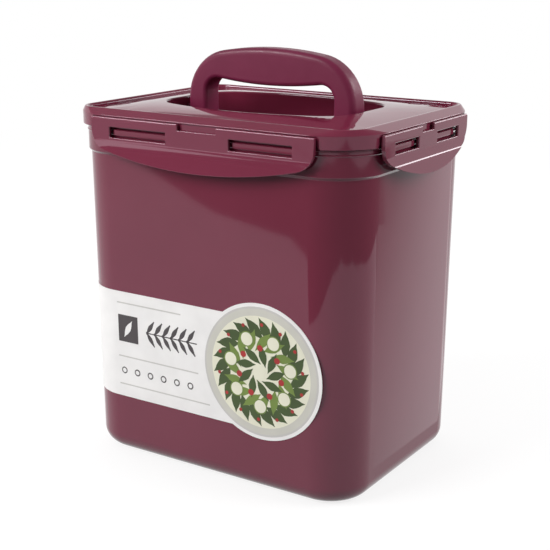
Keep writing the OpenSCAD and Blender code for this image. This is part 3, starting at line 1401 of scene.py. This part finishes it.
SPRIG_Z = 82.0
LEAF_RISE = 3.6
DOTS_Z = 55.0
RULES_X = -66.0
RULES = ((98, 24), (64, 30), (46, 34))
BAND = (
    PrintRow(Ink.CHARCOAL, 1, (-58, SPRIG_Z), (7.5, 8.5), BAR),
    PrintRow(Ink.PAPER, 2, (-58, SPRIG_Z), (5, 2), 16, lean=60),
    PrintRow(Ink.CHARCOAL, 1, (-25, SPRIG_Z), (18.5, 0.35), BAR),
    PrintRow(Ink.CHARCOAL, 1, (-41, SPRIG_Z - LEAF_RISE), (4.2, 1.5), 14, count=6, step=6, lean=-55),
    PrintRow(Ink.CHARCOAL, 1, (-41, SPRIG_Z + LEAF_RISE), (4.2, 1.5), 14, count=6, step=6, lean=55),
    *(PrintRow(Ink.RULE, 1, (RULES_X + half, height), (half, 0.4), BAR) for height, half in RULES),
    PrintRow(Ink.CHARCOAL, 1, (-62, DOTS_Z), (2.2, 2.2), 20, count=6, step=10),
    PrintRow(Ink.PAPER, 2, (-62, DOTS_Z), (1.4, 1.4), 20, count=6, step=10),
)


@dataclass
class WrapLabel:
    """Paper label that wraps the front-left corner, with a plain botanical print.

    It is drawn flat, with X along the tub's side and Z up, and then laid round the tub.
    """

    tub: Tub
    low: float = 38.0
    high: float = 105.0
    wrap: float = 15.0
    panel: tuple[float, float, float] = (37.5, 73.5, 40.5)
    thick: float = 0.25
    glue: float = 0.05
    ink: float = 0.03
    corner_steps: int = 16
    panel_steps: int = 72
    plate_steps: int = 64

    @property
    def corner_radius(self) -> float:
        """Radius of the paper round the tub's corner, at the middle of the band."""
        outline = self.tub.outline
        return outline.corner - self.tub.side_at((self.low + self.high) / 2) + self.glue + self.thick

    @property
    def left_end(self) -> float:
        """Flat place of the label's left end."""
        return -self.tub.outline.reach.x - self.corner_radius * math.pi / 2 - self.wrap

    def lay(self, flat: Vector) -> Vector:
        """Lays a flat point on the tub.

        Args:
            flat: Place along the side, depth below the paper's face, and height.

        Returns:
            The point on the tub.
        """
        outline = self.tub.outline
        reach = outline.reach
        radius = outline.corner - self.tub.side_at(flat.z) + self.glue + self.thick - flat.y
        past = -reach.x - flat.x
        bend = min(max(past / self.corner_radius, 0), math.pi / 2)
        along = max(past - self.corner_radius * math.pi / 2, 0)
        return Vector((
            -reach.x + max(-past, 0) - radius * math.sin(bend),
            -reach.y - radius * math.cos(bend) + along,
            flat.z,
        ))

    def paper(self, bm: BMesh) -> None:
        """Draws the paper flat: the band and the round panel at its right end.

        Args:
            bm: Empty mesh.
        """
        x, z, radius = self.panel
        rise, fall = self.high - z, z - self.low
        start = math.degrees(math.asin(rise / radius))
        end = math.degrees(math.asin(fall / radius))
        left = self.left_end
        meet = x - radius * math.cos(math.radians(start))
        sweep = Sweep(bm, [Vector((left, 0, self.high))])
        sweep.line(Vector((meet - left, 0, 0)))
        sweep.turn(Vector((x, 0, z)), 360 - start - end, self.panel_steps, REAR)
        sweep.line(Vector((left - x + radius * math.cos(math.radians(end)), 0, 0)))
        sweep.line(Vector((0, 0, self.high - self.low)))
        fill_outline(bm)
        quarter = self.corner_radius * math.pi / 2
        for step in range(self.corner_steps + 1):
            slice_through(bm, RIGHT, -self.tub.outline.reach.x - step / self.corner_steps * quarter)
        thicken(bm, self.thick)

    def stamp(
        self, bm: BMesh, ink: Ink, layer: int, place: Matrix, segments: int, tip: float = 0
    ) -> None:
        """Prints one spot: a disc, or a leaf where it has tips.

        Args:
            bm: Mesh to add to.
            ink: Its ink.
            layer: How many inks lie under it, counted from 1.
            place: Size, turn and place on the flat label of a disc of radius 1 in the X-Z plane.
            segments: Corners round it. The least, BAR, gives an oblong of the full size.
            tip: How far its two ends are drawn out.
        """
        flat = Matrix.Rotation(math.pi / 2, 4, "X")
        disc = bmesh.ops.create_circle(bm, cap_ends=True, segments=segments, radius=1, matrix=flat)
        made = disc["verts"]
        if segments == BAR:
            bmesh.ops.rotate(bm, verts=made, cent=(0, 0, 0), matrix=Matrix.Rotation(math.pi / 4, 3, "Y"))
            bmesh.ops.scale(bm, verts=made, vec=(math.sqrt(2),) * 3)
        for vert in made:
            if abs(vert.co.x) > AT_TIP:
                vert.co.x *= 1 + tip
            else:
                vert.co.z *= 1 - tip * abs(vert.co.x)
        bmesh.ops.transform(bm, verts=made, matrix=Matrix.Translation((0, -layer * self.ink, 0)) @ place)
        for face in {face for vert in made for face in vert.link_faces}:
            face.material_index = list(Ink).index(ink)

    @staticmethod
    def spot(x: float, z: float, half_x: float, half_z: float, turn: float = 0) -> Matrix:
        """Matrix of a print, from its middle, its half length and width, and its turn in degrees."""
        size = Matrix.Diagonal((half_x, 1, half_z, 1))
        return Matrix.Translation((x, 0, z)) @ Matrix.Rotation(-math.radians(turn), 4, "Y") @ size

    def wreath(self, bm: BMesh) -> None:
        """Prints the round panel: a plate with a wreath of leaves, pale blossoms and berries.

        Args:
            bm: Mesh to add to.
        """
        x, z, radius = self.panel
        for layer, (ink, share) in enumerate(PLATE, 1):
            place = self.spot(x, z, radius * share, radius * share)
            self.stamp(bm, ink, layer, place, self.plate_steps)
        for ring in WREATH:
            for number in range(ring.count):
                angle = 360 * (number + ring.shift) / ring.count
                turn, tip = (0, 0) if ring.lean is None else (angle + ring.lean, LEAF_TIP)
                at_x = x + ring.radius * math.cos(math.radians(angle))
                at_z = z + ring.radius * math.sin(math.radians(angle))
                place = self.spot(at_x, at_z, *ring.half, turn)
                self.stamp(bm, ring.ink, ring.layer, place, ring.segments, tip)

    def band(self, bm: BMesh) -> None:
        """Prints the band: a charcoal block, a sprig of paired leaves, fine rules and a row of rings.

        Args:
            bm: Mesh to add to.
        """
        for row in BAND:
            x, z = row.start
            turn, tip = (0, 0) if row.lean is None else (row.lean, LEAF_TIP)
            for number in range(row.count):
                place = self.spot(x + row.step * number, z, *row.half, turn)
                self.stamp(bm, row.ink, row.layer, place, row.segments, tip)

    def build(self) -> None:
        """Builds and dresses the label."""
        bm = bmesh.new()
        self.paper(bm)
        self.wreath(bm)
        self.band(bm)
        for vert in bm.verts:
            vert.co = self.lay(vert.co)
        materials = [ink.value.material() for ink in Ink]
        finish_piece("wrap_label", bm, materials, Body.TUB.value, "label")


# Studio


@dataclass(frozen=True)
class PhotoCamera:
    """Camera fitted to the picture's edges, for a square picture."""

    azimuth: float = 33.082
    elevation: float = 15.969
    roll: float = 0.122
    distance: float = 0.7317
    aim: float = 0.1021
    focal: float = 1179.6
    centre: tuple[float, float] = (-1.434, 9.479)
    picture: float = 550.0
    sensor: float = 36.0
    nearest: float = 0.01

    def build(self) -> None:
        """Sets up the scene's camera."""
        back = heading(self.azimuth, self.elevation)
        right = Matrix.Rotation(math.radians(self.roll), 3, back) @ heading(self.azimuth + 90)
        axes = Matrix((right, back.cross(right), back)).transposed().to_4x4()
        data = bpy.data.cameras.new("photo_camera")
        data.sensor_width = self.sensor
        data.lens = self.sensor * self.focal / self.picture
        data.shift_x = -self.centre[0] / self.picture
        data.shift_y = self.centre[1] / self.picture
        data.clip_start = self.nearest
        camera = bpy.data.objects.new("photo_camera", data)
        camera.matrix_world = Matrix.Translation(UP * self.aim + back * self.distance) @ axes
        bpy.context.scene.collection.objects.link(camera)
        bpy.context.scene.camera = camera


class LampRole(Enum):
    """What a lamp does: light the faces, or draw bright lines along the glossy edges."""

    LIGHT = "light"
    GLINT = "glint"


@dataclass(frozen=True)
class Softbox:
    """Flat lamp that looks at the keeper and stays out of the camera's view."""

    name: str
    azimuth: float
    elevation: float
    distance: float
    size: tuple[float, float]
    power: float
    role: LampRole = LampRole.LIGHT
    aim: float = 0.12

    def build(self) -> None:
        """Adds the lamp."""
        away = heading(self.azimuth, self.elevation)
        data = bpy.data.lights.new(self.name, "AREA")
        data.shape = "RECTANGLE"
        data.size, data.size_y = self.size
        data.energy = self.power
        lamp = bpy.data.objects.new(self.name, data)
        lamp.location = UP * self.aim + away * self.distance
        lamp.rotation_euler = away.to_track_quat("Z", "Y").to_euler()
        lamp.visible_camera = False
        lamp.visible_glossy = self.role is LampRole.GLINT
        lamp.visible_diffuse = self.role is LampRole.LIGHT
        bpy.context.scene.collection.objects.link(lamp)


@dataclass(frozen=True)
class GreyCard:
    """Glowing grey card that only the glossy faces show.

    Its grey is the shade plus the slope times the place on the floor, kept within the limits.
    """

    name: str
    shade: float = 0.3
    slope: tuple[float, float] = (0, 0)
    limits: tuple[float, float] = (0, 1)
    arc_steps: int = 24

    def stand(self, bm: BMesh) -> None:
        """Turns a mesh into the card.

        Args:
            bm: The mesh in metres, which is freed.
        """
        weld(bm)
        shader = Shader(self.name)
        low, high = self.limits
        along = {0: shader.place, 1: (*self.slope, 0)}
        rise = shader.node("ShaderNodeVectorMath", along, operation="DOT_PRODUCT")
        level = shader.node("ShaderNodeMath", {0: rise.outputs["Value"], 1: self.shade}, operation="ADD")
        clamp = shader.node("ShaderNodeClamp", {"Value": level.outputs[0], "Min": low, "Max": high})
        grey = shader.node("ShaderNodeEmission", {"Strength": clamp.outputs[0]})
        shader.feed(shader.output.inputs["Surface"], grey.outputs[0])
        card = add_object(self.name, bm, [shader.material])
        card.visible_camera = False
        card.visible_diffuse = False
        card.visible_shadow = False

    def lie(self, corners: Sequence[tuple[float, float]], height: float = 0.002) -> None:
        """Lays the card flat.

        Args:
            corners: Its corners in plan.
            height: Its height over the floor.
        """
        bm = bmesh.new()
        points = [Vector((x, y, height)) for x, y in corners]
        sweep = Sweep(bm, points[:1])
        for start, end in zip(points, points[1:] + points[:1]):
            sweep.line(end - start)
        fill_outline(bm)
        self.stand(bm)

    def curve(self, radius: float, start: float, degrees: float, heights: tuple[float, float]) -> None:
        """Stands the card up as an arc round the keeper.

        Args:
            radius: Its distance from the middle.
            start: Azimuth of its first end, counted from the front.
            degrees: How far it reaches round.
            heights: Heights of its lower and its upper edge.
        """
        bm = bmesh.new()
        foot = heading(start) * radius
        Sweep(bm, [foot + UP * height for height in heights]).turn(Vector(), degrees, self.arc_steps)
        self.stand(bm)


@dataclass(frozen=True)
class Studio:
    """Pale floor, white surround, soft lamps, and grey cards for the dark shapes in the glossy faces.

    The swoosh and the side patch are outlines of cards on the floor, in plan. The room card is an arc in
    front of the keeper, up to the ceiling card.
    """

    ambient: float = 0.34
    floor_half: float = 6.0
    floor_shade: float = 0.2
    floor_glow: float = 0.8
    floor_reach: tuple[float, float] = (0.5, 1.3)
    room_radius: float = 1.6
    room_start: float = -75.0
    room_turn: float = 150.0
    room_low: float = 0.3
    ceiling_z: float = 1.2
    ceiling_half: float = 1.7
    side_card: GreyCard = GreyCard("side_card", 2.48, (-12.69, 5.84), (0.6, 1.9))
    side_card_z: float = 0.001
    lamps: tuple[Softbox, ...] = (
        Softbox("key_softbox", -30, 28, 1.3, (0.8, 0.7), 17),
        Softbox("left_softbox", -100, 25, 1.3, (0.6, 0.8), 2.5),
        Softbox("fill_softbox", 115, 28, 1.4, (0.8, 0.9), 15),
        Softbox("rear_softbox", 213, 22, 1.5, (1.7, 0.8), 9.5),
        Softbox("front_strip_high", -48, 46, 1.3, (0.6, 0.25), 10, LampRole.GLINT),
        Softbox("front_strip_low", -36, 11, 1.3, (0.9, 0.26), 1.7, LampRole.GLINT),
        Softbox("side_strip", 152, 24, 1.3, (0.6, 0.18), 2.5, LampRole.GLINT),
    )
    swoosh: tuple[tuple[float, float], ...] = (
        (-0.071, -0.344), (-0.113, -0.399), (-0.184, -0.489), (-0.252, -0.561), (-0.302, -0.58),
        (-0.384, -0.611), (-0.506, -0.694), (-0.62, -0.776), (-0.72, -0.84), (-0.4, -1.1),
        (0.3, -1.15), (1.1, -0.9), (1.2, 1.0), (0.655, 1.03), (0.5, 0.737),
        (0.398, 0.545), (0.48, 0.42), (0.53, 0.24), (0.58, 0), (0.56, -0.2),
        (0.45, -0.4), (0.3, -0.46), (0.19, -0.45), (0.1, -0.42), (0.02, -0.385),
    )
    side_patch: tuple[tuple[float, float], ...] = (
        (0.11, -0.01), (0.135, 0.04), (0.21, 0.17), (0.325, 0.335),
        (0.46, 0.435), (0.8, 1.1), (0.4, 1.1), (0.11, 0.2),
    )

    @staticmethod
    def seen(tree: bpy.types.NodeTree) -> bpy.types.NodeSocket:
        """Adds a test for camera, glossy and transmission rays.

        Args:
            tree: Node tree to add it to.

        Returns:
            Its answer, 0 or 1.
        """
        path = tree.nodes.new("ShaderNodeLightPath")
        total = path.outputs["Is Camera Ray"]
        for name in ("Is Glossy Ray", "Is Transmission Ray"):
            join = tree.nodes.new("ShaderNodeMath")
            join.operation = "MAXIMUM"
            tree.links.new(total, join.inputs[0])
            tree.links.new(path.outputs[name], join.inputs[1])
            total = join.outputs[0]
        return total

    def surround(self) -> None:
        """Makes the world white where it is seen, and a soft grey light elsewhere."""
        world = bpy.data.worlds.new("white_surround")
        world.use_nodes = True
        tree = world.node_tree
        strength = tree.nodes.new("ShaderNodeMix")
        strength.inputs["A"].default_value = self.ambient
        strength.inputs["B"].default_value = 1.0
        tree.links.new(self.seen(tree), strength.inputs["Factor"])
        background = tree.nodes["Background"]
        background.inputs["Color"].default_value = (1, 1, 1, 1)
        tree.links.new(strength.outputs["Result"], background.inputs["Strength"])
        bpy.context.scene.world = world

    def glow(self, shader: Shader, strength: float) -> bpy.types.NodeSocket:
        """Adds a white glow that only shows where it is seen.

        Args:
            shader: Shader to add it to.
            strength: Its strength.

        Returns:
            The glow.
        """
        where = {0: self.seen(shader.tree), 1: strength}
        level = shader.node("ShaderNodeMath", where, operation="MULTIPLY")
        return shader.node("ShaderNodeEmission", {"Strength": level.outputs[0]}).outputs[0]

    def floor(self) -> None:
        """Lays the pale floor, which keeps the keeper's shadow and runs out into white."""
        shader = Shader("pale_floor")
        matt = shader.node("ShaderNodeBsdfDiffuse", {"Color": (self.floor_shade,) * 3 + (1,)})
        glow = self.glow(shader, self.floor_glow)
        near = shader.node("ShaderNodeAddShader", {0: matt.outputs[0], 1: glow})
        away = shader.node("ShaderNodeVectorMath", {0: shader.place}, operation="LENGTH")
        start, end = self.floor_reach
        fade = {"Value": away.outputs["Value"], "From Min": start, "From Max": end}
        share = shader.node("ShaderNodeMapRange", fade, interpolation_type="SMOOTHSTEP")
        parts = {0: share.outputs["Result"], 1: near.outputs[0], 2: self.glow(shader, 1.0)}
        both = shader.node("ShaderNodeMixShader", parts)
        shader.feed(shader.output.inputs["Surface"], both.outputs[0])
        bm = bmesh.new()
        bmesh.ops.create_grid(bm, x_segments=1, y_segments=1, size=self.floor_half)
        ground = add_object("studio_floor", bm, [shader.material])

    def build(self) -> None:
        """Sets up the surround, the floor, the lamps and the cards."""
        bpy.context.scene.view_settings.view_transform = "Standard"
        self.surround()
        self.floor()
        for lamp in self.lamps:
            lamp.build()
        GreyCard("floor_card").lie(self.swoosh)
        self.side_card.lie(self.side_patch, self.side_card_z)
        heights = (self.room_low, self.ceiling_z)
        GreyCard("room_card").curve(self.room_radius, self.room_start, self.room_turn, heights)
        half = self.ceiling_half
        corners = ((-half, -half), (half, -half), (half, half), (-half, half))
        GreyCard("ceiling_card").lie(corners, self.ceiling_z)


def main() -> None:
    """Builds the keeper over its frame, piece by piece, with its camera and studio."""
    logging.basicConfig(level=logging.INFO, format="%(name)s: %(message)s")
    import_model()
    PhotoCamera().build()
    outline = Outline()
    tub = Tub(outline)
    tub.build()
    Lid(outline).build()
    for side in Side:
        LatchFlap(outline, side).build()
    CarryHandle().build()
    WrapLabel(tub).build()
    Studio().build()


if __name__ == "__main__":
    main()
